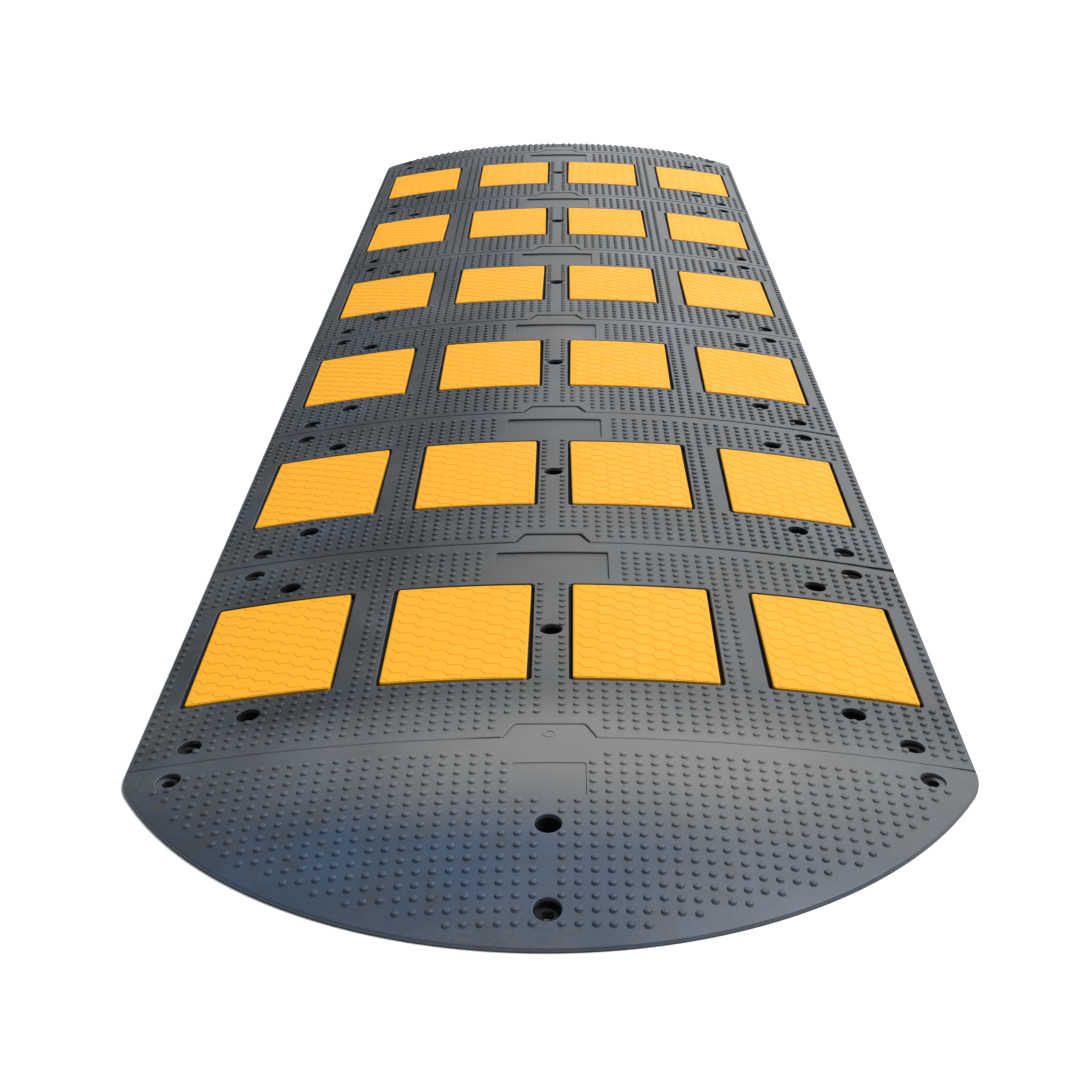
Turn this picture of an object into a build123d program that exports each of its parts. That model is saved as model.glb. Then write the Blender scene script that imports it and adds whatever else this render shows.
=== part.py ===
"""Modular rubber speed bump, 3600 x 900 x 50 mm.

Six middle modules lie end to end along Y, with a half-moon end cap at each end. Traffic
crosses the hump along X. The origin is the centre of the whole footprint, on the road.
Lengths are in millimetres.
"""
import os
from math import hypot, sin, sqrt

from build123d import *

# The hump
WIDTH = 900
MODULE_PITCH = 500
CAP_DEPTH = 300
CAP_RADIUS = 505        # plan radius of the half-moon rim
CAP_CORNER = 80         # plan radius where the rim meets the short straight side
EDGE_LIP = 5            # height of the rubber along its outer edge
CROWN = 48              # height of the rubber along the middle
JOINT_GAP = 1.5         # between neighbouring rubber pieces
FRONT_GAP = 0.5         # between the front cap, which seats tight, and the first module
JOINT_OPENINGS = (5, 4, 0, 0, 4, 0)     # how much wider each module's far joint gets towards +X
OPENING_START = 100     # distance from the middle where a joint begins to open
MODULE_COUNT = len(JOINT_OPENINGS)
EDGE_ROUND = 2          # along the outline of each rubber piece's top
RECESS_ROUND = 1        # around wells, pockets and plate recesses

# The tongue on each piece's far end, and the notch that takes it
TONGUE_LENGTH = 24
TONGUE_BASE = 96
TONGUE_TIP = 72
TONGUE_CORNER = 5
NOTCH_SIDE_GAP = 2
NOTCH_END_GAP = 4.5

# Bolt wells: a through hole at the bottom of a wide counterbore
HOLE_RADIUS = 7
WELL_RADIUS = 13.5
WELL_FLOOR = 9
OUTER_BOLTS = (388, 216)        # half the sides of a rectangle about the module's middle
INNER_BOLTS = (333, 162)
CAP_SIDE_BOLT = (398, 30)       # the second number is the distance from the joint
CAP_MIDDLE_BOLTS = (146, 256)

# Yellow pads and their pockets
PADS = (("outer_left", -331.5), ("inner_left", -108.5), ("inner_right", 108.5), ("outer_right", 331.5))
PAD_WIDTH, PAD_LENGTH = 165, 240
PAD_CORNER = 4
PAD_ROUND = 1.5
PAD_PROUD = 0.8         # pad surface above the rubber
PAD_TURN = 0.55         # largest turn of a pad laid by hand, in degrees
POCKET_GAP = 5          # all round the pad
POCKET_DEPTH = 7
POCKET_CORNER = 7

# Blank recess for a marking plate: width, length, depth, distance of its middle from the joint
MODULE_PLATE = (144, 82, 3, 71)
CAP_PLATE = (76, 56, 1.2, 76)
PLATE_CORNER = 3

# Round studs. Only the two rows beside the crown are made, because they set the full height.
STUD_HEIGHT = 2
STUD_PITCH = 16
STUD_BASE, STUD_TOP = 4.3, 3.4
STUD_ROOT = 2           # how deep a stud starts inside the rubber
CROWN_STUD_X = 13.5
CROWN_STUD_ROWS = range(54, 375, STUD_PITCH)

# Blind cells under the rubber save weight
CELL = 44
CELL_PITCH = 58
CELL_COLUMNS = range(-5, 6)
MODULE_CELL_ROWS = [(row + 0.5) * CELL_PITCH for row in range(-4, 4)]
CAP_CELL_ROWS = [-45 - row * CELL_PITCH for row in range(4)]
ROOF = 14               # rubber left above a cell
BOSS = 22               # rubber left around a bolt's axis
LOWEST_CEILING = 5

HIGH = 60               # taller than anything here
MIDDLE = MODULE_PITCH / 2
NEAR, FAR = JOINT_GAP / 2, MODULE_PITCH - JOINT_GAP / 2
NOTCH_LENGTH = TONGUE_LENGTH + NOTCH_END_GAP
ARC_RADIUS = ((WIDTH / 2) ** 2 + (CROWN - EDGE_LIP) ** 2) / (2 * (CROWN - EDGE_LIP))


def surface_height(x):
    """Height of the rubber across a module."""
    return CROWN - ARC_RADIUS + sqrt(ARC_RADIUS**2 - x**2)


def rim_depth(x):
    """Distance from the joint to the cap's rim."""
    return sqrt(CAP_RADIUS**2 - x**2) - (CAP_RADIUS - CAP_DEPTH)


def cap_height(x, y):
    """Height of the cap's rubber, falling from the joint to the rim."""
    return EDGE_LIP + (surface_height(x) - EDGE_LIP) * (1 - (y / rim_depth(x)) ** 2)


def column(outline, bottom=-1.0, top=HIGH):
    """An upright prism on a flat outline."""
    return Pos(0, 0, bottom) * extrude(outline, amount=top - bottom)


def arch(start, end, lift=0.0, base=0.0):
    """Everything between the base and the module's curved top, raised by lift, along Y."""
    half = WIDTH / 2
    edge = EDGE_LIP + lift
    top = ThreePointArc((half, edge), (0, CROWN + lift), (-half, edge))
    rest = Polyline((-half, edge), (-half, base), (half, base), (half, edge))
    profile = make_face(Plane.XZ * Curve(children=[top, rest]))
    return Pos(0, start, 0) * extrude(profile, amount=-(end - start))


def tongue_outline(root, side_gap=0.0, end_gap=0.0):
    """Plan of a tongue that stands on y = root, or with gaps, of its notch."""
    base = TONGUE_BASE / 2 + side_gap
    tip = TONGUE_TIP / 2 + side_gap
    reach = root + TONGUE_LENGTH + end_gap
    shape = make_face(Polyline(
        (-base, root - 1), (base, root - 1), (base, root), (tip, reach),
        (-tip, reach), (-base, root), close=True))
    return fillet(shape.vertices().group_by(Axis.Y)[-1], TONGUE_CORNER)


def notch_outline(root):
    """Plan of the notch that a neighbour's tongue enters."""
    return tongue_outline(root, NOTCH_SIDE_GAP, NOTCH_END_GAP)


def opening_outline(width):
    """Plan of the wedge by which the far joint stands open at its +X end."""
    edge = WIDTH / 2 + 1
    return make_face(Polyline((OPENING_START, FAR), (edge, FAR - width), (edge, FAR + 1), close=True))


def bolt_wells(places):
    """Through holes and their counterbores."""
    wells = []
    for x, y in places:
        wells.append(column(Pos(x, y) * Circle(HOLE_RADIUS)))
        wells.append(column(Pos(x, y) * Circle(WELL_RADIUS), WELL_FLOOR))
    return wells


def module_bolts():
    """Bolt places on a module whose near joint is y = 0."""
    corners = [(side * x, MIDDLE + end * y)
               for x, y in (OUTER_BOLTS, INNER_BOLTS) for side in (-1, 1) for end in (-1, 1)]
    return [(0, MIDDLE)] + corners


def cap_bolts():
    """Bolt places on a cap that reaches from its joint, y = 0, towards -Y."""
    x, y = CAP_SIDE_BOLT
    return [(-x, -y), (x, -y)] + [(0, -middle) for middle in CAP_MIDDLE_BOLTS]


def cells(rows, bolts, ceiling_height, keep_clear):
    """Blind cells under the rubber, where there is height enough and nothing else is near."""
    made = []
    for x in [column_step * CELL_PITCH for column_step in CELL_COLUMNS]:
        for y in rows:
            near_bolt = any(
                hypot(max(abs(x - bolt_x) - CELL / 2, 0), max(abs(y - bolt_y) - CELL / 2, 0)) < BOSS
                for bolt_x, bolt_y in bolts)
            ceiling = ceiling_height(abs(x) + CELL / 2, y) - ROOF
            if ceiling > LOWEST_CEILING and not near_bolt and not keep_clear(x, y):
                made.append(column(Pos(x, y) * Rectangle(CELL, CELL), -1, ceiling))
    return made


def by_notch(x, y, joint):
    """Whether a cell would break into the notch at a joint."""
    wall = 6
    return (abs(x) < TONGUE_BASE / 2 + CELL / 2 + wall
            and abs(y - joint) < NOTCH_LENGTH + CELL / 2 + wall)


def curved_slab(place, width, length, corner, depth, proud=STUD_HEIGHT):
    """A rounded rectangle that follows the module's top, from depth below it to proud above it."""
    start, end = place.position.Y - length, place.position.Y + length
    slab = arch(start, end, proud, -HIGH) - arch(start, end, -depth, -HIGH)
    return column(place * RectangleRounded(width, length, corner), -HIGH) & slab


def main_top(body):
    """The largest curved face: the surface that wheels cross."""
    curved = [face for face in body.faces() if face.geom_type != GeomType.PLANE]
    return max(curved, key=lambda face: face.area)


def round_outline(body, radius):
    """Round the outline of the main top."""
    return fillet(main_top(body).outer_wire().edges(), radius)


def round_recesses(body, radius):
    """Round the mouth of every well, pocket and plate recess in the main top."""
    mouths = [edge for wire in main_top(body).inner_wires() for edge in wire.edges()]
    return fillet(mouths, radius)


def crown_studs():
    """The two stud rows beside the crown, clear of the middle bolt."""
    low = Align.MIN
    root = Cylinder(STUD_BASE, STUD_ROOT, align=(Align.CENTER, Align.CENTER, low))
    tip = Cone(STUD_BASE, STUD_TOP, STUD_HEIGHT, align=(Align.CENTER, Align.CENTER, low))
    stud = root + Pos(0, 0, STUD_ROOT) * tip
    return [Pos(x, y, surface_height(x) - STUD_ROOT) * stud
            for x in (-CROWN_STUD_X, CROWN_STUD_X) for y in CROWN_STUD_ROWS
            if hypot(x, y - MIDDLE) > WELL_RADIUS + RECESS_ROUND]


def module_rubber(opening):
    """One middle module, between the joints y = 0 and y = MODULE_PITCH."""
    plan = Pos(0, MIDDLE) * Rectangle(WIDTH, FAR - NEAR) + tongue_outline(FAR) - notch_outline(NEAR)
    if opening:
        plan -= opening_outline(opening)
    block = column(plan) & arch(-TONGUE_LENGTH, MODULE_PITCH + 2 * TONGUE_LENGTH)
    width, length, depth, from_joint = MODULE_PLATE
    recesses = [curved_slab(Pos(0, MODULE_PITCH - from_joint), width, length, PLATE_CORNER, depth)]
    for _, x in PADS:
        recesses.append(curved_slab(Pos(x, MIDDLE), PAD_WIDTH + 2 * POCKET_GAP, PAD_LENGTH + 2 * POCKET_GAP,
                                    POCKET_CORNER, POCKET_DEPTH))
    bolts = module_bolts()
    body = round_outline(block, EDGE_ROUND) - recesses - bolt_wells(bolts)
    body = round_recesses(body, RECESS_ROUND)
    rows = [MIDDLE + row for row in MODULE_CELL_ROWS]
    hollows = cells(rows, bolts, lambda x, y: surface_height(x), lambda x, y: by_notch(x, y, 0))
    return body + crown_studs() - hollows


def half_moon(joint):
    """Plan of a cap that reaches from its joint towards -Y."""
    half, corner = WIDTH / 2, -rim_depth(WIDTH / 2)
    sides = Polyline((half, corner), (half, joint), (-half, joint), (-half, corner))
    rim = ThreePointArc((-half, corner), (0, -CAP_DEPTH), (half, corner))
    plan = make_face(Curve(children=[sides, rim]))
    return fillet([vertex for vertex in plan.vertices() if vertex.Y < joint - 1], CAP_CORNER)


def under_dome():
    """Everything under the cap's domed top, carried on a little past its joint and rim."""
    steps = 40
    grid = []
    for across in range(-steps, steps + 1):
        x = (WIDTH / 2 + 2) * across / steps
        along = [rim_depth(x) * (-0.1 + 1.13 * step / steps) for step in range(steps + 1)]
        grid.append([Vector(x, -y, cap_height(x, y)) for y in along])
    dome = Face.make_surface_from_array_of_points(grid, tol=0.02)
    return extrude(dome, amount=2 * HIGH, dir=(0, 0, -1))


def cap_rubber(plan, keep_clear):
    """A cap on its plan, with bolt wells, a plate recess and cells."""
    block = column(plan, 0) & under_dome()
    width, length, depth, from_joint = CAP_PLATE
    plate = column(Pos(0, -from_joint) * RectangleRounded(width, length, PLATE_CORNER)) - Pos(0, 0, -depth) * block
    bolts = cap_bolts()
    body = round_outline(block, EDGE_ROUND) - plate - bolt_wells(bolts)
    body = round_recesses(body, RECESS_ROUND)
    return body - cells(CAP_CELL_ROWS, bolts, lambda x, y: cap_height(x, y - CELL / 2), keep_clear)


def pad(x, turn):
    """One yellow pad on the floor of its pocket, laid with a small turn."""
    place = Pos(x, MIDDLE) * Rot(0, 0, turn)
    slab = curved_slab(place, PAD_WIDTH, PAD_LENGTH, PAD_CORNER, POCKET_DEPTH, PAD_PROUD)
    top = max(slab.faces(), key=lambda face: (round(face.area), face.center().Z))
    return fillet(top.edges(), PAD_ROUND)


def save(shape, name):
    """One named sub-part, one file."""
    solid = shape.solid()
    solid.label = name
    export_step(solid, f"parts/{name}.step")


def main():
    os.makedirs("parts", exist_ok=True)
    modules = {opening: module_rubber(opening) for opening in set(JOINT_OPENINGS)}
    first_joint = -MODULE_COUNT * MODULE_PITCH / 2
    for number, opening in enumerate(JOINT_OPENINGS, 1):
        place = Pos(0, first_joint + (number - 1) * MODULE_PITCH, 0)
        save(place * modules[opening], f"module_{number}")
        for order, (name, x) in enumerate(PADS):
            turn = PAD_TURN * sin(2.3 * number + 1.7 * order)
            save(place * pad(x, turn), f"module_{number}_pad_{name}")

    joint = NEAR - FRONT_GAP
    tongue = tongue_outline(joint, NOTCH_SIDE_GAP - FRONT_GAP, NOTCH_END_GAP - FRONT_GAP)
    front = cap_rubber(half_moon(joint) + tongue, lambda x, y: False)
    save(Pos(0, first_joint, 0) * front, "front_end_cap")
    rear_plan = half_moon(-NEAR) - Rot(0, 0, 180) * notch_outline(NEAR)
    rear = cap_rubber(rear_plan, lambda x, y: by_notch(x, y, 0))
    save(Pos(0, -first_joint, 0) * Rot(0, 0, 180) * rear, "rear_end_cap")


main()
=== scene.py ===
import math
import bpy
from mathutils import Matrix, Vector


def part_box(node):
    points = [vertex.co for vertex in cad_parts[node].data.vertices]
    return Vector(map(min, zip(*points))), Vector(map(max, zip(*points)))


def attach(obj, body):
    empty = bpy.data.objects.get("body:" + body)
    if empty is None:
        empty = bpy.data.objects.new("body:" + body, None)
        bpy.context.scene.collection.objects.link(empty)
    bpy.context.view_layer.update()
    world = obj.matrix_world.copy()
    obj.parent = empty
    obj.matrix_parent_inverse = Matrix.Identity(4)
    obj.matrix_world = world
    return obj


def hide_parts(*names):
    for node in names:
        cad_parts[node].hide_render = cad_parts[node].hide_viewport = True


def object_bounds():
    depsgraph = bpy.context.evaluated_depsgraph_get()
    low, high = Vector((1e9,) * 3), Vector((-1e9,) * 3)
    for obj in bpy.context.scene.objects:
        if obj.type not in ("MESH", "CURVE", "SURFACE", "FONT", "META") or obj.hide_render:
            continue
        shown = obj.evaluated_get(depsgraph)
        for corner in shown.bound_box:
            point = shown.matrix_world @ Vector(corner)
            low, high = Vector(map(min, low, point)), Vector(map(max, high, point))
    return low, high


bl_info = {
    "name": "Rubber Speed Bump",
    "version": (1, 0, 0),
    "blender": (4, 5, 0),
    "location": "View3D > Sidebar > Speed Bump",
    "description": "Studs, honeycomb pads, rubber finish and a plain stage for a modular speed bump",
    "category": "Object",
}

import bpy
from mathutils import Matrix, Vector

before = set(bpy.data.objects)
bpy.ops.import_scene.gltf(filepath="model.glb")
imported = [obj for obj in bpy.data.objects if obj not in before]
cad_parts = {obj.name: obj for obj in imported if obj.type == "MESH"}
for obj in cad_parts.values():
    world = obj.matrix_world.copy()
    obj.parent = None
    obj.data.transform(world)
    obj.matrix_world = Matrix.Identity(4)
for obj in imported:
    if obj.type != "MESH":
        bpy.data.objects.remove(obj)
CAD_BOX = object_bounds()

MM = 0.001
HAIR = 0.01 * MM            # smaller than anything made here
BODY = "root"
MODULES = sorted(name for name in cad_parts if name.startswith("module_") and "pad" not in name)
CAPS = ("front_end_cap", "rear_end_cap")
PAD_COLUMNS = ("outer_left", "inner_left", "inner_right", "outer_right")
HALF_WIDTH = CAD_BOX[1].x
CAP_DEPTH = 300 * MM
FIRST_JOINT = CAD_BOX[0].y + CAP_DEPTH
MODULE_PITCH = (CAD_BOX[1].y - CAD_BOX[0].y - 2 * CAP_DEPTH) / len(MODULES)


def size(name, description, millimetres):
    """A length that a user may change, given in millimetres."""
    return bpy.props.FloatProperty(
        name=name, description=description, default=millimetres * MM, min=0.0, unit="LENGTH")


def colour(name, description, red, green, blue):
    """A linear colour that a user may change."""
    return bpy.props.FloatVectorProperty(
        name=name, description=description, default=(red, green, blue), subtype="COLOR", min=0.0, max=1.0)


class SpeedBumpRubber(bpy.types.PropertyGroup):
    """Shape of the rubber's top, as far as the studs need it."""

    crown: size("Crown", "Height of the rubber along the middle", 48)
    lip: size("Edge lip", "Height of the rubber along its outer edge", 5)
    rim_radius: size("Rim radius", "Radius of the half-moon rim seen from above", 505)
    cap_depth: size("Cap depth", "Distance from a cap's joint to its rim", 300)
    stud_base: size("Stud base", "Radius of a stud where it leaves the rubber", 4.3)
    stud_top: size("Stud top", "Radius of a stud's top", 3.4)
    stud_height: size("Stud height", "Height of a stud above the rubber", 2)
    first_column: size("First column", "Distance of the innermost stud column from the middle", 13.5)
    last_column: size("Last column", "Distance of the outermost stud column from the middle", 441.5)
    columns: bpy.props.IntProperty(
        name="Columns", description="Stud columns on each side of the middle", default=28, min=2)
    row_pitch: size("Row pitch", "Distance between stud rows", 16)


class SpeedBumpPads(bpy.types.PropertyGroup):
    """Shape of the yellow pads."""

    width: size("Pad width", "Size of a pad across the hump", 165)
    length: size("Pad length", "Size of a pad along the hump", 240)
    corner: size("Pad corner", "Corner radius of a pad", 4)
    thickness: size("Pad thickness", "Thickness of a pad with its cells", 7.8)
    cell_side: size("Cell side", "Side of a honeycomb cell, groove included", 14.1)
    groove: size("Groove", "Width of the groove between two cells", 1.5)
    cell_height: size("Cell height", "Height of a cell above the groove", 0.5)
    turn: bpy.props.FloatProperty(
        name="Largest turn", description="How far a hand-laid pad is turned at most",
        default=math.radians(0.55), subtype="ANGLE")


class SpeedBumpFinish(bpy.types.PropertyGroup):
    """Colours of the two materials."""

    rubber: colour("Rubber", "Fresh black rubber", 0.026, 0.030, 0.035)
    # Blue for the random bloom, and also for the painted sky reflection on the front cap.
    rubber_blue_and_sky_reflection: colour("Blue rubber", "Bluish bloom on the rubber", 0.038, 0.068, 0.115)
    rubber_brown: colour("Brown rubber", "Brownish stains on the rubber", 0.045, 0.039, 0.034)
    # Pale dust colour, also used for the painted sheen on the crown, the first module and the front joint.
    rubber_dust_and_sheen: colour("Rubber dust", "Pale road dust on the rubber", 0.17, 0.17, 0.165)
    # Near-black painted shade for wells, pockets and joints.
    recess: colour("Recess", "Grime in wells, pockets and joints", 0.004, 0.004, 0.005)
    yellow: colour("Yellow", "Clean pad", 0.96, 0.52, 0.020)
    yellow_pale: colour("Pale yellow", "Sun-bleached pad", 0.97, 0.56, 0.034)
    # Deep yellow paints shade into the pad grooves. In the cells it colours the grimy patches.
    yellow_deep_and_groove_shade: colour("Deep yellow", "Grooves and grimy patches", 0.84, 0.38, 0.012)


class SpeedBumpStage(bpy.types.PropertyGroup):
    """Camera and light."""

    camera_place: bpy.props.FloatVectorProperty(
        name="Camera place", description="Where the camera stands",
        default=(0.0195, -3.0801, 0.9803), subtype="TRANSLATION")
    camera_turn: bpy.props.FloatVectorProperty(
        name="Camera turn", description="How the camera is turned",
        default=[math.radians(angle) for angle in (65.926, 0.54, 0.737)], subtype="EULER")
    lens: bpy.props.FloatProperty(
        name="Lens", description="Focal length of the camera in millimetres", default=58.0, min=1.0)
    floor: colour("Floor", "Plain pale floor", 0.93, 0.93, 0.93)


# ---------------------------------------------------------------- modelling helpers


def deselect_all():
    if bpy.context.object is not None and bpy.context.object.mode != "OBJECT":
        bpy.ops.object.mode_set(mode="OBJECT")
    bpy.ops.object.select_all(action="DESELECT")


def take(piece):
    """Makes a piece the only selected and the active object."""
    deselect_all()
    piece.select_set(True)
    bpy.context.view_layer.objects.active = piece


def name_piece(piece, name):
    piece.name = name
    piece.data.name = name
    return piece


def edit(piece, mode="FACE"):
    """Opens a piece in edit mode with nothing selected."""
    take(piece)
    bpy.ops.object.mode_set(mode="EDIT")
    bpy.ops.mesh.select_mode(type=mode)
    bpy.ops.mesh.select_all(action="DESELECT")


def close_edit():
    bpy.ops.object.mode_set(mode="OBJECT")


def pick(piece, kind, test):
    """Selects the faces, edges or vertices of the edited piece that pass a test."""
    bpy.ops.object.mode_set(mode="OBJECT")
    for element in getattr(piece.data, kind):
        element.select = test(element)
    bpy.ops.object.mode_set(mode="EDIT")


def edge_ends(piece, edge):
    return [piece.data.vertices[index].co for index in edge.vertices]


def apply_modifier(piece, kind, **settings):
    """Adds a modifier and applies it."""
    take(piece)
    modifier = piece.modifiers.new(kind.title(), kind)
    for key, value in settings.items():
        setattr(modifier, key, value)
    bpy.ops.object.modifier_apply(modifier=modifier.name)


def settle(piece):
    """Puts a piece's place, turn and scale into its mesh."""
    take(piece)
    bpy.ops.object.transform_apply(location=True, rotation=True, scale=True)


def copy_piece(piece, name, move=(0, 0, 0), turn=0.0, centre=(0, 0, 0)):
    """A copy with its own mesh, turned about an upright axis through centre, then moved."""
    take(piece)
    bpy.ops.object.duplicate(linked=False)
    copy = bpy.context.object
    about = Matrix.Translation(centre) @ Matrix.Rotation(turn, 4, "Z") @ Matrix.Translation(-Vector(centre))
    copy.matrix_world = Matrix.Translation(move) @ about @ copy.matrix_world
    settle(copy)
    return name_piece(copy, name)


def remove_piece(piece):
    mesh = piece.data
    bpy.data.objects.remove(piece)
    bpy.data.meshes.remove(mesh)


def smooth(piece, degrees=35):
    take(piece)
    bpy.ops.object.shade_smooth_by_angle(angle=math.radians(degrees))


def finish_piece(piece, materials):
    """Gives a piece its materials and its body."""
    piece.data.materials.clear()
    for material in materials:
        piece.data.materials.append(material)
    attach(piece, BODY)


# ---------------------------------------------------------------- the rubber's surface


def hump_height(x):
    """Height of a module's rubber at a distance from the middle."""
    rubber = bpy.context.scene.speed_bump_rubber
    rise = rubber.crown - rubber.lip
    radius = (HALF_WIDTH**2 + rise**2) / (2 * rise)
    return rubber.crown - radius + math.sqrt(radius**2 - x**2)


def rim_depth(x):
    """Distance from a cap's joint to its rim."""
    rubber = bpy.context.scene.speed_bump_rubber
    return math.sqrt(rubber.rim_radius**2 - x**2) - (rubber.rim_radius - rubber.cap_depth)


def cap_height(x, from_joint):
    """Height of a cap's rubber, falling from its joint to its rim."""
    lip = bpy.context.scene.speed_bump_rubber.lip
    return lip + (hump_height(x) - lip) * (1 - (from_joint / rim_depth(x)) ** 2)


# ---------------------------------------------------------------- shader groups

# Soft patches on the rubber, painted sky reflection and painted sheen: middle and half size
# Painted sky reflection, bluish, over the front cap.
CAP_SKY_REFLECTION = ((0, FIRST_JOINT - 190 * MM, 0), (0.70, 0.30, 1.0))
# Paler band along the front joint: dust and painted sheen.
JOINT_DUST_AND_SHEEN = ((0.10, FIRST_JOINT - 30 * MM, 0), (0.54, 0.15, 1.0))
# Painted sheen on the first module.
FIRST_MODULE_SHEEN = ((0.12, FIRST_JOINT + 250 * MM, 0), (0.34, 0.55, 1.0))
# Painted sheen along the crown.
CROWN_SHEEN = ((0.03, 0, 0), (0.14, 1.75, 1.0))


def add_node(tree, kind, place, **inputs):
    """A shader node with its inputs set or linked. Underscores in input names stand for spaces."""
    node = tree.nodes.new(kind)
    node.location = place
    for key, value in inputs.items():
        socket = node.inputs[key.replace("_", " ")]
        if isinstance(value, bpy.types.NodeSocket):
            tree.links.new(value, socket)
        else:
            socket.default_value = value
    return node


def new_group(name, inputs, outputs):
    """An empty shader group with its named sockets. An input is (kind, name, default)."""
    group = bpy.data.node_groups.new(name, "ShaderNodeTree")
    for kind, label, default in inputs:
        socket = group.interface.new_socket(name=label, in_out="INPUT", socket_type=kind)
        socket.default_value = default
    for kind, label in outputs:
        group.interface.new_socket(name=label, in_out="OUTPUT", socket_type=kind)
    start = group.nodes.new("NodeGroupInput")
    start.location = (-900, 0)
    end = group.nodes.new("NodeGroupOutput")
    end.location = (700, 0)
    return group, start, end


def noise(tree, place, vector, scale, detail=3.0, roughness=0.55):
    node = add_node(tree, "ShaderNodeTexNoise", place, Vector=vector, Detail=detail, Roughness=roughness)
    if isinstance(scale, bpy.types.NodeSocket):
        tree.links.new(scale, node.inputs["Scale"])
    else:
        node.inputs["Scale"].default_value = scale
    return node


def remap(tree, place, value, low, high, to_low=0.0, to_high=1.0):
    """A smooth map of a value from one range to another."""
    node = add_node(tree, "ShaderNodeMapRange", place, Value=value)
    node.interpolation_type = "SMOOTHSTEP"
    for key, number in (("From Min", low), ("From Max", high), ("To Min", to_low), ("To Max", to_high)):
        node.inputs[key].default_value = number
    return node.outputs["Result"]


def arithmetic(tree, place, operation, first, second):
    node = tree.nodes.new("ShaderNodeMath")
    node.operation = operation
    node.location = place
    for socket, value in zip(node.inputs, (first, second)):
        if isinstance(value, bpy.types.NodeSocket):
            tree.links.new(value, socket)
        else:
            socket.default_value = value
    return node.outputs["Value"]


def mix_colour(tree, place, factor, first, second):
    node = tree.nodes.new("ShaderNodeMix")
    node.data_type = "RGBA"
    node.location = place
    for socket, value in ((node.inputs["Factor"], factor), (node.inputs[6], first), (node.inputs[7], second)):
        if isinstance(value, bpy.types.NodeSocket):
            tree.links.new(value, socket)
        else:
            socket.default_value = value
    return node.outputs[2]


def make_grain_group():
    """Moulded grain: a fine leathery height and a soft unevenness."""
    group, start, end = new_group(
        "Moulded Grain",
        [("NodeSocketVector", "Place", (0, 0, 0)), ("NodeSocketFloat", "Grain Scale", 900.0),
         ("NodeSocketFloat", "Ripple Scale", 30.0), ("NodeSocketFloat", "Ripple Share", 0.5)],
        [("NodeSocketFloat", "Height"), ("NodeSocketFloat", "Grain")])
    place = start.outputs["Place"]
    fine = noise(group, (-600, 200), place, start.outputs["Grain Scale"], 2.0, 0.6)
    ripple = noise(group, (-600, -100), place, start.outputs["Ripple Scale"], 2.0, 0.5)
    share = start.outputs["Ripple Share"]
    weighted = arithmetic(group, (-350, -100), "MULTIPLY", ripple.outputs["Fac"], share)
    height = arithmetic(group, (-100, 50), "ADD", fine.outputs["Fac"], weighted)
    group.links.new(height, end.inputs["Height"])
    group.links.new(fine.outputs["Fac"], end.inputs["Grain"])
    return group


def make_dust_group():
    """Patchy dust: broad clouds broken by small specks, as a mask."""
    group, start, end = new_group(
        "Patchy Dust",
        [("NodeSocketVector", "Place", (0, 0, 0)), ("NodeSocketFloat", "Cloud Scale", 5.0),
         ("NodeSocketFloat", "Speck Scale", 160.0), ("NodeSocketFloat", "Amount", 0.5)],
        [("NodeSocketFloat", "Mask"), ("NodeSocketFloat", "Clouds")])
    place = start.outputs["Place"]
    clouds = noise(group, (-650, 250), place, start.outputs["Cloud Scale"], 5.0, 0.6)
    specks = noise(group, (-650, -50), place, start.outputs["Speck Scale"], 4.0, 0.7)
    soft = remap(group, (-400, 250), clouds.outputs["Fac"], 0.36, 0.68)
    broken = remap(group, (-400, -50), specks.outputs["Fac"], 0.38, 0.66, 0.45, 1.0)
    both = arithmetic(group, (-150, 100), "MULTIPLY", soft, broken)
    mask = arithmetic(group, (100, 100), "MULTIPLY", both, start.outputs["Amount"])
    group.links.new(mask, end.inputs["Mask"])
    group.links.new(soft, end.inputs["Clouds"])
    return group


def make_recess_group():
    """How far a place lies below the rubber's smooth top, as a mask that is 1 in every well and pocket."""
    rubber = bpy.context.scene.speed_bump_rubber
    rise = rubber.crown - rubber.lip
    arc_radius = (HALF_WIDTH**2 + rise**2) / (2 * rise)
    group, start, end = new_group(
        "Recess Shade",
        [("NodeSocketVector", "Place", (0, 0, 0)), ("NodeSocketFloat", "Start Depth", 0.001),
         ("NodeSocketFloat", "Full Depth", 0.003)],
        [("NodeSocketFloat", "Mask")])
    split = add_node(group, "ShaderNodeSeparateXYZ", (-700, 0), Vector=start.outputs["Place"])
    x, y, z = (split.outputs[axis] for axis in "XYZ")

    def step(operation, first, second=0.0):
        return arithmetic(group, (60 * len(group.nodes) - 800, -200), operation, first, second)

    def drop(radius):
        """How far an arc of a radius has fallen at x."""
        return step("SUBTRACT", radius, step("SQRT", step("SUBTRACT", radius**2, step("MULTIPLY", x, x))))

    from_joint = step("MAXIMUM", step("ADD", step("ABSOLUTE", y), FIRST_JOINT), 0.0)
    share = step("DIVIDE", from_joint, step("SUBTRACT", rubber.cap_depth, drop(rubber.rim_radius)))
    left = step("SUBTRACT", 1.0, step("MULTIPLY", share, share))
    top = step("ADD", rubber.lip, step("MULTIPLY", step("SUBTRACT", rise, drop(arc_radius)), left))
    depth = step("SUBTRACT", top, z)
    span = step("SUBTRACT", start.outputs["Full Depth"], start.outputs["Start Depth"])
    mask = step("DIVIDE", step("SUBTRACT", depth, start.outputs["Start Depth"]), span)
    group.links.new(remap(group, (400, 0), mask, 0.0, 1.0), end.inputs["Mask"])
    return group


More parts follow.
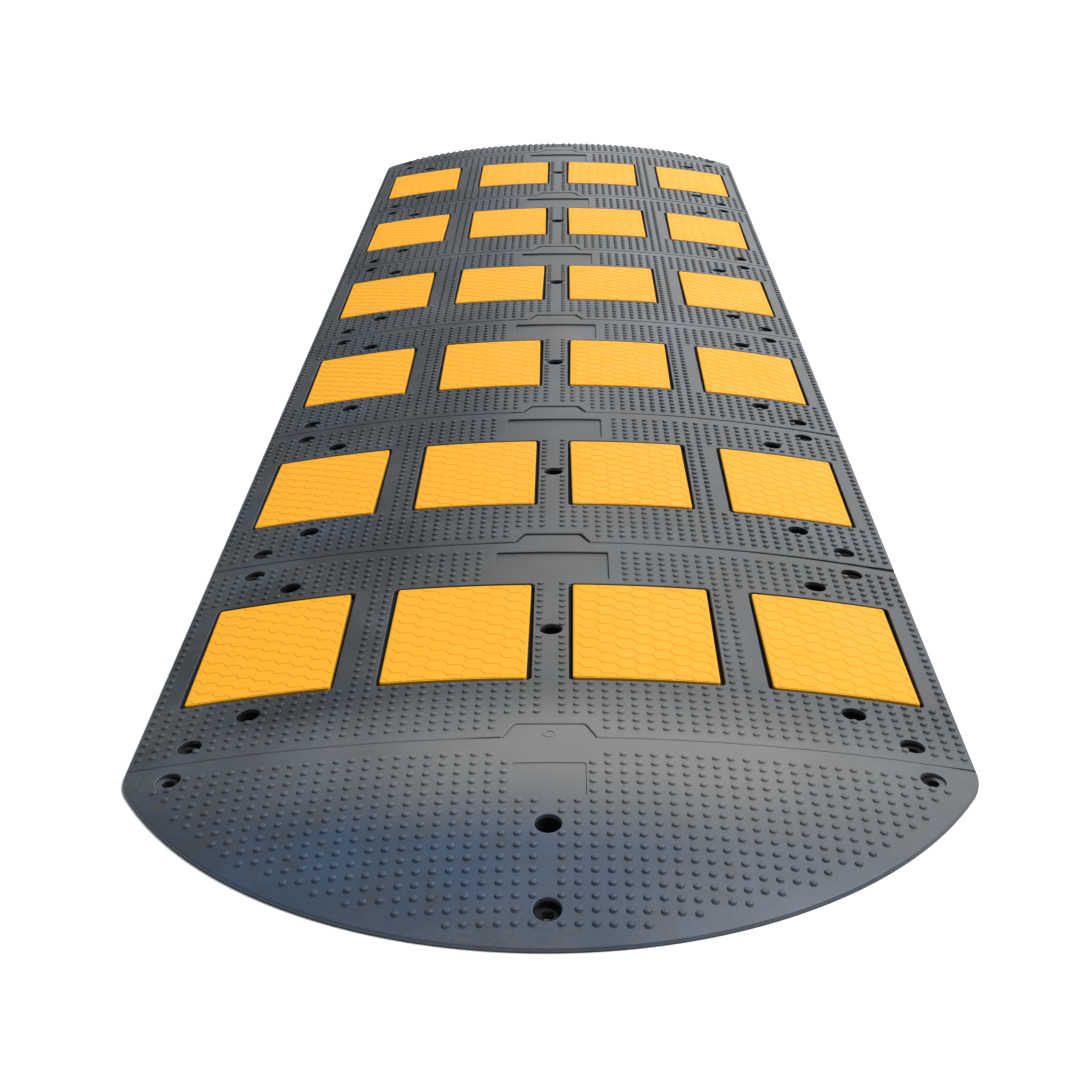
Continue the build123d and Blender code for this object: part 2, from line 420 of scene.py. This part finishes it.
def group_node(tree, group, place, **inputs):
    node = tree.nodes.new("ShaderNodeGroup")
    node.node_tree = group
    node.location = place
    for key, value in inputs.items():
        socket = node.inputs[key.replace("_", " ")]
        if isinstance(value, bpy.types.NodeSocket):
            tree.links.new(value, socket)
        else:
            socket.default_value = value
    return node


def shared_group(name, maker):
    return bpy.data.node_groups.get(name) or maker()


def new_material(name):
    """A material with its Principled BSDF, tree and object coordinates."""
    material = bpy.data.materials.new(name)
    material.use_nodes = True
    tree = material.node_tree
    tree.nodes.clear()
    shader = add_node(tree, "ShaderNodeBsdfPrincipled", (600, 0))
    output = tree.nodes.new("ShaderNodeOutputMaterial")
    output.location = (900, 0)
    tree.links.new(shader.outputs["BSDF"], output.inputs["Surface"])
    coordinates = tree.nodes.new("ShaderNodeTexCoord")
    coordinates.location = (-900, 0)
    return material, tree, shader, coordinates.outputs["Object"]


def add_bump(tree, shader, height, strength, distance):
    bump = add_node(tree, "ShaderNodeBump", (350, -300), Height=height, Strength=strength, Distance=distance)
    tree.links.new(bump.outputs["Normal"], shader.inputs["Normal"])


def solid(rgb):
    return (*rgb, 1.0)


def patch(tree, place, coordinates, middle, size):
    """A soft oval mask around a place on the rubber."""
    moved = add_node(tree, "ShaderNodeMapping", place, Vector=coordinates)
    moved.vector_type = "TEXTURE"
    moved.inputs["Location"].default_value = middle
    moved.inputs["Scale"].default_value = size
    ball = add_node(tree, "ShaderNodeTexGradient", (place[0] + 200, place[1]), Vector=moved.outputs["Vector"])
    ball.gradient_type = "SPHERICAL"
    return ball.outputs["Fac"]


def rubber_material():
    """Dark moulded rubber: bluish and brownish stains, road dust, a painted sky reflection on the front cap,
    painted sheen on the crown, the first module and the front joint, painted shade in the recesses, and a
    dull sheen.
    """
    name = "Moulded Black Rubber"
    if name in bpy.data.materials:
        return bpy.data.materials[name]
    finish = bpy.context.scene.speed_bump_finish
    material, tree, shader, place = new_material(name)
    shader.inputs["Specular IOR Level"].default_value = 0.4
    grain = group_node(tree, shared_group("Moulded Grain", make_grain_group), (-600, -300),
                       Place=place, Grain_Scale=850.0, Ripple_Scale=26.0, Ripple_Share=1.4)
    dust = group_node(tree, shared_group("Patchy Dust", make_dust_group), (-600, 200),
                      Place=place, Cloud_Scale=4.5, Speck_Scale=220.0, Amount=0.3)
    bloom = noise(tree, (-600, 600), place, 7.0, 4.0, 0.6)
    stains = noise(tree, (-600, 900), place, 38.0, 4.0, 0.65)
    recess = group_node(tree, shared_group("Recess Shade", make_recess_group), (-600, -600),
                        Place=place, Start_Depth=3.4 * MM, Full_Depth=5.5 * MM)
    painted_cap_reflection = patch(tree, (-900, 1200), place, *CAP_SKY_REFLECTION)
    joint_band_dust_sheen = patch(tree, (-900, 1500), place, *JOINT_DUST_AND_SHEEN)
    painted_module_sheen = patch(tree, (-900, 1800), place, *FIRST_MODULE_SHEEN)
    painted_crown_sheen = patch(tree, (-900, 2100), place, *CROWN_SHEEN)

    clouds = remap(tree, (-400, 600), bloom.outputs["Fac"], 0.42, 0.72, 0.0, 0.45)
    # Random bluish bloom plus the painted sky reflection over the front cap.
    blue_and_reflection_share = arithmetic(tree, (-300, 600), "ADD", clouds, painted_cap_reflection)
    blued = mix_colour(tree, (-100, 600), blue_and_reflection_share, solid(finish.rubber), solid(finish.rubber_blue_and_sky_reflection))
    brown_share = remap(tree, (-400, 900), stains.outputs["Fac"], 0.5, 0.75, 0.0, 0.7)
    stained = mix_colour(tree, (0, 400), brown_share, blued, solid(finish.rubber_brown))
    # The joint band and the sheen patches pale the rubber: painted sheen, with dust along the joint.
    joint_dust_sheen_share = arithmetic(tree, (-300, 1200), "MULTIPLY", joint_band_dust_sheen, 0.95)
    painted_sheen = arithmetic(tree, (-300, 1500), "ADD", painted_module_sheen, painted_crown_sheen)
    painted_sheen_share = arithmetic(tree, (-250, 1500), "MULTIPLY", painted_sheen, 0.5)
    sheen_and_joint_dust = arithmetic(tree, (-250, 1300), "ADD", joint_dust_sheen_share, painted_sheen_share)
    # Dust mask plus the painted sheen patches, mixed towards the pale dust colour.
    pale_share = arithmetic(tree, (-200, 200), "ADD", dust.outputs["Mask"], sheen_and_joint_dust)
    dusty_and_sheened = mix_colour(tree, (100, 200), pale_share, stained, solid(finish.rubber_dust_and_sheen))
    # Painted shade: wells, pockets and joints below the rubber's smooth top go near black.
    base = mix_colour(tree, (300, 200), recess.outputs["Mask"], dusty_and_sheened, solid(finish.recess))
    tree.links.new(base, shader.inputs["Base Color"])

    dull = remap(tree, (-200, -50), pale_share, 0.0, 0.6, 0.44, 0.62)
    uneven = remap(tree, (-200, -250), grain.outputs["Grain"], 0.3, 0.7, -0.04, 0.04)
    rough = arithmetic(tree, (0, -100), "ADD", dull, uneven)
    deep = arithmetic(tree, (0, -400), "MULTIPLY", recess.outputs["Mask"], 0.5)
    tree.links.new(arithmetic(tree, (200, -100), "ADD", rough, deep), shader.inputs["Roughness"])
    add_bump(tree, shader, grain.outputs["Height"], 0.35, 0.0004)
    return material


def yellow_material(name, main, shade, pale_share):
    """Satin yellow rubber. The grooves use the same recipe with a deeper colour, as painted shade between the
    cells.
    """
    if name in bpy.data.materials:
        return bpy.data.materials[name]
    finish = bpy.context.scene.speed_bump_finish
    material, tree, shader, place = new_material(name)
    grain = group_node(tree, shared_group("Moulded Grain", make_grain_group), (-600, -300),
                       Place=place, Grain_Scale=1100.0, Ripple_Scale=45.0, Ripple_Share=0.8)
    shader.inputs["Specular IOR Level"].default_value = 0.25
    dust = group_node(tree, shared_group("Patchy Dust", make_dust_group), (-600, 200),
                      Place=place, Cloud_Scale=16.0, Speck_Scale=260.0, Amount=0.3)
    bleached = mix_colour(tree, (-150, 300), pale_share, solid(main), solid(finish.yellow_pale))
    tone = mix_colour(tree, (-150, 100), dust.outputs["Clouds"], bleached, solid(main))
    grimy = mix_colour(tree, (100, 200), dust.outputs["Mask"], tone, solid(shade))
    tree.links.new(grimy, shader.inputs["Base Color"])
    dull = remap(tree, (100, -50), dust.outputs["Mask"], 0.0, 0.3, 0.6, 0.75)
    tree.links.new(dull, shader.inputs["Roughness"])
    add_bump(tree, shader, grain.outputs["Height"], 0.25, 0.0003)
    return material


# ---------------------------------------------------------------- pieces


class SPEEDBUMP_OT_rubber(bpy.types.Operator):
    """Give the modules and end caps their rubber finish"""

    bl_idname = "speedbump.rubber"
    bl_label = "Rubber Finish"

    def execute(self, context):
        for name in (*MODULES, *CAPS):
            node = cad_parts[name]
            node.data.materials.clear()
            node.data.materials.append(rubber_material())
        return {"FINISHED"}


def one_stud(name):
    """A low round stud with an eased top edge, its foot a little inside the rubber."""
    rubber = bpy.context.scene.speed_bump_rubber
    root = 1 * MM
    deselect_all()
    bpy.ops.mesh.primitive_cone_add(
        vertices=14, radius1=rubber.stud_base + root / 4, radius2=rubber.stud_top,
        depth=rubber.stud_height + root, location=(0, 0, (rubber.stud_height - root) / 2))
    stud = name_piece(bpy.context.object, name)
    settle(stud)
    top = rubber.stud_height - HAIR
    edit(stud, "EDGE")
    pick(stud, "edges", lambda edge: all(end.z > top for end in edge_ends(stud, edge)))
    bpy.ops.mesh.bevel(offset=0.6 * MM, segments=2, affect="EDGES")
    bpy.ops.mesh.select_mode(type="FACE")
    pick(stud, "polygons", lambda face: face.normal.z < -0.9)
    bpy.ops.mesh.delete(type="FACE")
    close_edit()
    return stud


def stud_grid(name, first_row, rows):
    """A full grid of studs on flat ground: both sides of the middle, rows towards +Y."""
    rubber = bpy.context.scene.speed_bump_rubber
    grid = one_stud(name)
    grid.location = (rubber.first_column, first_row, 0)
    settle(grid)
    pitch = (rubber.last_column - rubber.first_column) / (rubber.columns - 1)
    apply_modifier(grid, "ARRAY", count=rubber.columns, use_relative_offset=False,
                   use_constant_offset=True, constant_offset_displace=(pitch, 0, 0))
    apply_modifier(grid, "MIRROR", use_mirror_merge=False)
    apply_modifier(grid, "ARRAY", count=rows, use_relative_offset=False,
                   use_constant_offset=True, constant_offset_displace=(0, rubber.row_pitch, 0))
    return grid


def stud_centre(point, first_row):
    """Centre of the stud that a point belongs to."""
    rubber = bpy.context.scene.speed_bump_rubber
    pitch = (rubber.last_column - rubber.first_column) / (rubber.columns - 1)
    column = round((abs(point.x) - rubber.first_column) / pitch)
    row = round((point.y - first_row) / rubber.row_pitch)
    x = math.copysign(rubber.first_column + column * pitch, point.x)
    return x, first_row + row * rubber.row_pitch


def lay_studs(grid, first_row, wanted, height):
    """Clears the studs that aren't wanted and lifts the others onto the rubber."""
    edit(grid, "VERT")
    pick(grid, "vertices", lambda vertex: not wanted(*stud_centre(vertex.co, first_row)))
    bpy.ops.mesh.delete(type="VERT")
    close_edit()
    for vertex in grid.data.vertices:
        vertex.co.z += height(*stud_centre(vertex.co, first_row))
    smooth(grid)


def outside(x, y, middle_x, middle_y, width, length, margin):
    """Whether a place is clear of a rectangle by a margin."""
    return abs(x - middle_x) > width / 2 + margin or abs(y - middle_y) > length / 2 + margin


EDGE_MARGIN = 6.5 * MM          # from a stud's centre to a pocket or plate recess
WELL_MARGIN = 15 * MM           # from a stud's centre to a bolt's axis
TONGUE_MARGIN = 54 * MM         # half the width that is bare beside a tongue
TONGUE_REACH = 46 * MM
POCKETS = [(x * MM, 177 * MM, 250 * MM) for x in (-331.5, -108.5, 108.5, 331.5)]
BARE_STRIPS = [(x * MM, 6 * MM, 250 * MM) for x in (-235.4, 235.4)]
MODULE_PLATE = (144 * MM, 82 * MM, 71 * MM)
CAP_PLATE = (76 * MM, 56 * MM, 76 * MM)
MODULE_BOLTS = ((0, 0), (388 * MM, 216 * MM), (333 * MM, 162 * MM))
CAP_BOLTS = ((398 * MM, 30 * MM), (0, 146 * MM), (0, 256 * MM))
RIM_MARGIN = 19 * MM
CROWN_ROWS = (54 * MM, 374 * MM)


def clear_of_bolts(x, y, bolts):
    return all(math.hypot(abs(x) - bolt_x, y - bolt_y) > WELL_MARGIN for bolt_x, bolt_y in bolts)


def wanted_on_module(x, y):
    """Whether a stud stands at a place measured from the module's near joint."""
    plate_width, plate_length, plate_from_far = MODULE_PLATE
    middle = MODULE_PITCH / 2
    by_tongue = abs(x) < TONGUE_MARGIN and y < TONGUE_REACH
    clear = all(outside(x, y, pocket_x, middle, width, length, EDGE_MARGIN)
                for pocket_x, width, length in (*POCKETS, *BARE_STRIPS))
    plate = outside(x, y, 0, MODULE_PITCH - plate_from_far, plate_width, plate_length, EDGE_MARGIN)
    on_crown = abs(x) < 14 * MM and CROWN_ROWS[0] - MM < y < CROWN_ROWS[1] + MM
    bolts = clear_of_bolts(x, abs(y - middle), MODULE_BOLTS)
    return clear and plate and bolts and not by_tongue and not on_crown


def wanted_on_cap(x, from_joint):
    """Whether a stud stands at a place measured from the cap's joint."""
    rubber = bpy.context.scene.speed_bump_rubber
    plate_width, plate_length, plate_from_joint = CAP_PLATE
    by_tongue = abs(x) < TONGUE_MARGIN and from_joint < TONGUE_REACH
    plate = outside(x, from_joint, 0, plate_from_joint, plate_width, plate_length, EDGE_MARGIN)
    behind_centre = rubber.rim_radius - rubber.cap_depth
    inside_rim = math.hypot(x, from_joint + behind_centre) < rubber.rim_radius - RIM_MARGIN
    return plate and inside_rim and not by_tongue and clear_of_bolts(x, from_joint, CAP_BOLTS)


class SPEEDBUMP_OT_module_studs(bpy.types.Operator):
    """Cover each module with its grid of round studs"""

    bl_idname = "speedbump.module_studs"
    bl_label = "Module Studs"

    def execute(self, context):
        first_row, rows = 22 * MM, 29
        master = stud_grid("module_studs_master", first_row, rows)
        lay_studs(master, first_row, wanted_on_module, lambda x, y: hump_height(x))
        for order, module in enumerate(MODULES):
            joint = FIRST_JOINT + order * MODULE_PITCH
            studs = copy_piece(master, f"{module}_studs", move=(0, joint, 0))
            finish_piece(studs, [rubber_material()])
        remove_piece(master)
        return {"FINISHED"}


class SPEEDBUMP_OT_cap_studs(bpy.types.Operator):
    """Cover each end cap with its grid of round studs"""

    bl_idname = "speedbump.cap_studs"
    bl_label = "Cap Studs"

    def execute(self, context):
        first_row, rows = 32 * MM, 16
        master = stud_grid("cap_studs_master", first_row, rows)
        lay_studs(master, first_row, wanted_on_cap, cap_height)
        for cap, side, turn in (("front_end_cap", 1, math.pi), ("rear_end_cap", -1, 0)):
            studs = copy_piece(master, f"{cap}_studs", move=(0, side * FIRST_JOINT, 0), turn=turn)
            finish_piece(studs, [rubber_material()])
        remove_piece(master)
        return {"FINISHED"}


class SPEEDBUMP_OT_ring_mark(bpy.types.Operator):
    """Raise the small moulded ring on the front cap's tongue"""

    bl_idname = "speedbump.ring_mark"
    bl_label = "Ring Mark"

    def execute(self, context):
        deselect_all()
        place = (0, FIRST_JOINT + 7 * MM, hump_height(0))
        bpy.ops.mesh.primitive_torus_add(
            major_radius=6.2 * MM, minor_radius=0.8 * MM, major_segments=40, minor_segments=10,
            location=place)
        ring = name_piece(bpy.context.object, "front_end_cap_ring_mark")
        ring.scale.z = 0.7
        settle(ring)
        smooth(ring, 60)
        finish_piece(ring, [rubber_material()])
        return {"FINISHED"}


def pad_slab(name):
    """The pad without its cells: rounded corners, an eased rim and cross cuts so that it can bend."""
    pads = bpy.context.scene.speed_bump_pads
    thick = pads.thickness - pads.cell_height
    deselect_all()
    bpy.ops.mesh.primitive_cube_add(size=1, location=(0, 0, -thick / 2))
    slab = name_piece(bpy.context.object, name)
    slab.scale = (pads.width, pads.length, thick)
    settle(slab)
    edit(slab, "EDGE")
    pick(slab, "edges", lambda edge: abs(edge_ends(slab, edge)[0].z - edge_ends(slab, edge)[1].z) > thick / 2)
    bpy.ops.mesh.bevel(offset=pads.corner, segments=4, affect="EDGES")
    pick(slab, "edges", lambda edge: all(end.z > -HAIR for end in edge_ends(slab, edge)))
    bpy.ops.mesh.bevel(offset=0.8 * MM, segments=2, affect="EDGES")
    spans = 12
    for cut in range(1, spans):
        bpy.ops.mesh.select_all(action="SELECT")
        x = pads.width * (cut / spans - 0.5)
        bpy.ops.mesh.bisect(plane_co=(x, 0, 0), plane_no=(1, 0, 0))
    close_edit()
    return slab


def pad_cell(name):
    """One honeycomb cell with corners pointing across the hump and a softly rounded top."""
    pads = bpy.context.scene.speed_bump_pads
    shrink = pads.groove / math.sqrt(3)
    deselect_all()
    bpy.ops.mesh.primitive_cylinder_add(
        vertices=6, radius=pads.cell_side - shrink, depth=2 * pads.cell_height,
        location=(0, 0, 0), rotation=(0, 0, math.radians(30)))
    cell = name_piece(bpy.context.object, name)
    settle(cell)
    top = pads.cell_height - HAIR
    edit(cell, "EDGE")
    pick(cell, "edges", lambda edge: all(end.z > top for end in edge_ends(cell, edge)))
    bpy.ops.mesh.bevel(offset=0.35 * MM, segments=1, affect="EDGES")
    bpy.ops.mesh.select_mode(type="FACE")
    pick(cell, "polygons", lambda face: face.normal.z < -0.9)
    bpy.ops.mesh.delete(type="FACE")
    close_edit()
    return cell


def clip(piece, centre, normal):
    """Cuts away what lies beyond a plane and closes the cut."""
    edit(piece, "FACE")
    bpy.ops.mesh.select_all(action="SELECT")
    bpy.ops.mesh.bisect(plane_co=centre, plane_no=normal, clear_outer=True, use_fill=True)
    close_edit()


def honeycomb(name):
    """Cells over the whole pad, cut back to its rim."""
    pads = bpy.context.scene.speed_bump_pads
    across, along = 1.5 * pads.cell_side, math.sqrt(3) * pads.cell_side
    half_columns = math.ceil(pads.width / 2 / across)
    half_rows = math.ceil(pads.length / 2 / along) + 1
    cells = pad_cell(name)
    columns = []
    for column in range(-half_columns, half_columns + 1):
        shift = along / 2 if column % 2 else 0
        columns.append(copy_piece(cells, f"{name}_{column}", (column * across, shift - half_rows * along, 0)))
    remove_piece(cells)
    deselect_all()
    for piece in columns:
        piece.select_set(True)
    bpy.context.view_layer.objects.active = columns[0]
    bpy.ops.object.join()
    whole = name_piece(bpy.context.object, name)
    apply_modifier(whole, "ARRAY", count=2 * half_rows + 1, use_relative_offset=False,
                   use_constant_offset=True, constant_offset_displace=(0, along, 0))
    rim = 1.6 * MM
    for side in (-1, 1):
        clip(whole, (side * (pads.width / 2 - rim), 0, 0), (side, 0, 0))
        clip(whole, (0, side * (pads.length / 2 - rim), 0), (0, side, 0))
    return whole


def pad_master(name):
    """A flat pad: slab and cells in one mesh, the cells in the second material."""
    pads = bpy.context.scene.speed_bump_pads
    slab = pad_slab(name)
    cells = honeycomb(f"{name}_cells")
    slab.data.materials.append(shaded_groove_material())
    slab.data.materials.append(cell_material())
    cells.data.materials.append(shaded_groove_material())
    cells.data.materials.append(cell_material())
    for face in cells.data.polygons:
        face.material_index = 1
    deselect_all()
    cells.select_set(True)
    slab.select_set(True)
    bpy.context.view_layer.objects.active = slab
    bpy.ops.object.join()
    lift = Vector((0, 0, -pads.cell_height))
    slab.location = lift
    settle(slab)
    smooth(slab, 40)
    return name_piece(slab, name)


# Grooves in deep yellow: painted shade between the cells.
def shaded_groove_material():
    finish = bpy.context.scene.speed_bump_finish
    return yellow_material("Yellow Rubber Grooves", finish.yellow_deep_and_groove_shade, finish.yellow_deep_and_groove_shade, 0.0)


def cell_material():
    finish = bpy.context.scene.speed_bump_finish
    return yellow_material("Yellow Rubber Cells", finish.yellow, finish.yellow_deep_and_groove_shade, 0.6)


class SPEEDBUMP_OT_pads(bpy.types.Operator):
    """Lay a honeycomb pad in each pocket"""

    bl_idname = "speedbump.pads"
    bl_label = "Honeycomb Pads"

    def execute(self, context):
        pads = context.scene.speed_bump_pads
        master = pad_master("pad_master")
        proud = 0.8 * MM
        for order, module in enumerate(MODULES):
            for column, side in enumerate(PAD_COLUMNS):
                node = f"{module}_pad_{side}"
                low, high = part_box(node)
                middle = (low + high) / 2
                turn = pads.turn * math.sin(2.3 * (order + 1) + 1.7 * column)
                pad = copy_piece(master, f"{module}_honeycomb_{side}", (middle.x, middle.y, 0), turn)
                for vertex in pad.data.vertices:
                    vertex.co.z += hump_height(vertex.co.x) + proud
                finish_piece(pad, [shaded_groove_material(), cell_material()])
                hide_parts(node)
        remove_piece(master)
        return {"FINISHED"}


SKY_COLOUR = (0.88, 0.95, 1.0, 1.0)
SKY_STRENGTH = 0.26
KEY_DIRECTION = (0.55, 0.2, 1.0)        # from the middle towards the key light
KEY_STRENGTH = 3.7
KEY_SPREAD = math.radians(30)
PANEL_PLACE = (2.0, 5.3, 2.2)           # beyond the far end, low enough to give the rubber its sheen
PANEL_SIZE = (5, 3)
PANEL_POWER = 110


class SPEEDBUMP_OT_stage(bpy.types.Operator):
    """Set up the floor, the lights and the camera"""

    bl_idname = "speedbump.stage"
    bl_label = "Stage"

    def execute(self, context):
        stage = context.scene.speed_bump_stage
        self.add_floor(stage)
        self.add_light()
        self.add_camera(context, stage)
        context.scene.view_settings.view_transform = "Standard"
        return {"FINISHED"}

    def add_floor(self, stage):
        deselect_all()
        bpy.ops.mesh.primitive_plane_add(size=60, location=(0, 0, -0.1 * MM))
        floor = name_piece(bpy.context.object, "floor")
        settle(floor)
        material, _, shader, _ = new_material("Pale Floor")
        shader.inputs["Base Color"].default_value = solid(stage.floor)
        shader.inputs["Roughness"].default_value = 0.9
        floor.data.materials.append(material)

    def add_light(self):
        world = bpy.data.worlds.new("Soft Studio")
        world.use_nodes = True
        background = world.node_tree.nodes["Background"]
        background.inputs["Color"].default_value = SKY_COLOUR
        background.inputs["Strength"].default_value = SKY_STRENGTH
        bpy.context.scene.world = world
        deselect_all()
        bpy.ops.object.light_add(type="SUN", location=(1, 1, 3))
        key = name_piece(bpy.context.object, "key_light")
        key.data.energy = KEY_STRENGTH
        key.data.angle = KEY_SPREAD
        key.rotation_euler = Vector(KEY_DIRECTION).to_track_quat("Z", "Y").to_euler()
        bpy.ops.object.light_add(type="AREA", location=PANEL_PLACE)
        panel = name_piece(bpy.context.object, "soft_panel")
        panel.data.shape = "RECTANGLE"
        panel.data.size, panel.data.size_y = PANEL_SIZE
        panel.data.energy = PANEL_POWER
        panel.visible_camera = False
        panel.rotation_euler = panel.location.to_track_quat("Z", "Y").to_euler()

    def add_camera(self, context, stage):
        bpy.ops.object.camera_add(location=stage.camera_place, rotation=stage.camera_turn)
        camera = context.object
        camera.name = "camera"
        camera.data.lens = stage.lens
        camera.data.sensor_width = 36
        camera.data.clip_end = 100
        context.scene.camera = camera


OPERATORS = (
    SPEEDBUMP_OT_rubber,
    SPEEDBUMP_OT_module_studs,
    SPEEDBUMP_OT_cap_studs,
    SPEEDBUMP_OT_ring_mark,
    SPEEDBUMP_OT_pads,
    SPEEDBUMP_OT_stage,
)


class SPEEDBUMP_PT_panel(bpy.types.Panel):
    """Lists the steps that build the speed bump"""

    bl_idname = "SPEEDBUMP_PT_panel"
    bl_label = "Speed Bump"
    bl_space_type = "VIEW_3D"
    bl_region_type = "UI"
    bl_category = "Speed Bump"

    def draw(self, context):
        for operator in OPERATORS:
            self.layout.operator(operator.bl_idname)
        for name in GROUPS:
            settings = getattr(context.scene, name)
            box = self.layout.box()
            for key in settings.bl_rna.properties.keys():
                if key not in ("rna_type", "name"):
                    box.prop(settings, key)


GROUPS = {
    "speed_bump_rubber": SpeedBumpRubber,
    "speed_bump_pads": SpeedBumpPads,
    "speed_bump_finish": SpeedBumpFinish,
    "speed_bump_stage": SpeedBumpStage,
}


def register():
    for group in GROUPS.values():
        bpy.utils.register_class(group)
    for name, group in GROUPS.items():
        setattr(bpy.types.Scene, name, bpy.props.PointerProperty(type=group))
    for operator in OPERATORS:
        bpy.utils.register_class(operator)
    bpy.utils.register_class(SPEEDBUMP_PT_panel)


def unregister():
    bpy.utils.unregister_class(SPEEDBUMP_PT_panel)
    for operator in reversed(OPERATORS):
        bpy.utils.unregister_class(operator)
    for name in GROUPS:
        delattr(bpy.types.Scene, name)
    for group in GROUPS.values():
        bpy.utils.unregister_class(group)


def write_sizes():
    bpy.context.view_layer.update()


def main():
    register()
    bpy.ops.speedbump.rubber()
    bpy.ops.speedbump.module_studs()
    bpy.ops.speedbump.cap_studs()
    bpy.ops.speedbump.ring_mark()
    bpy.ops.speedbump.pads()
    bpy.ops.speedbump.stage()
    write_sizes()


if __name__ == "__main__":
    main()
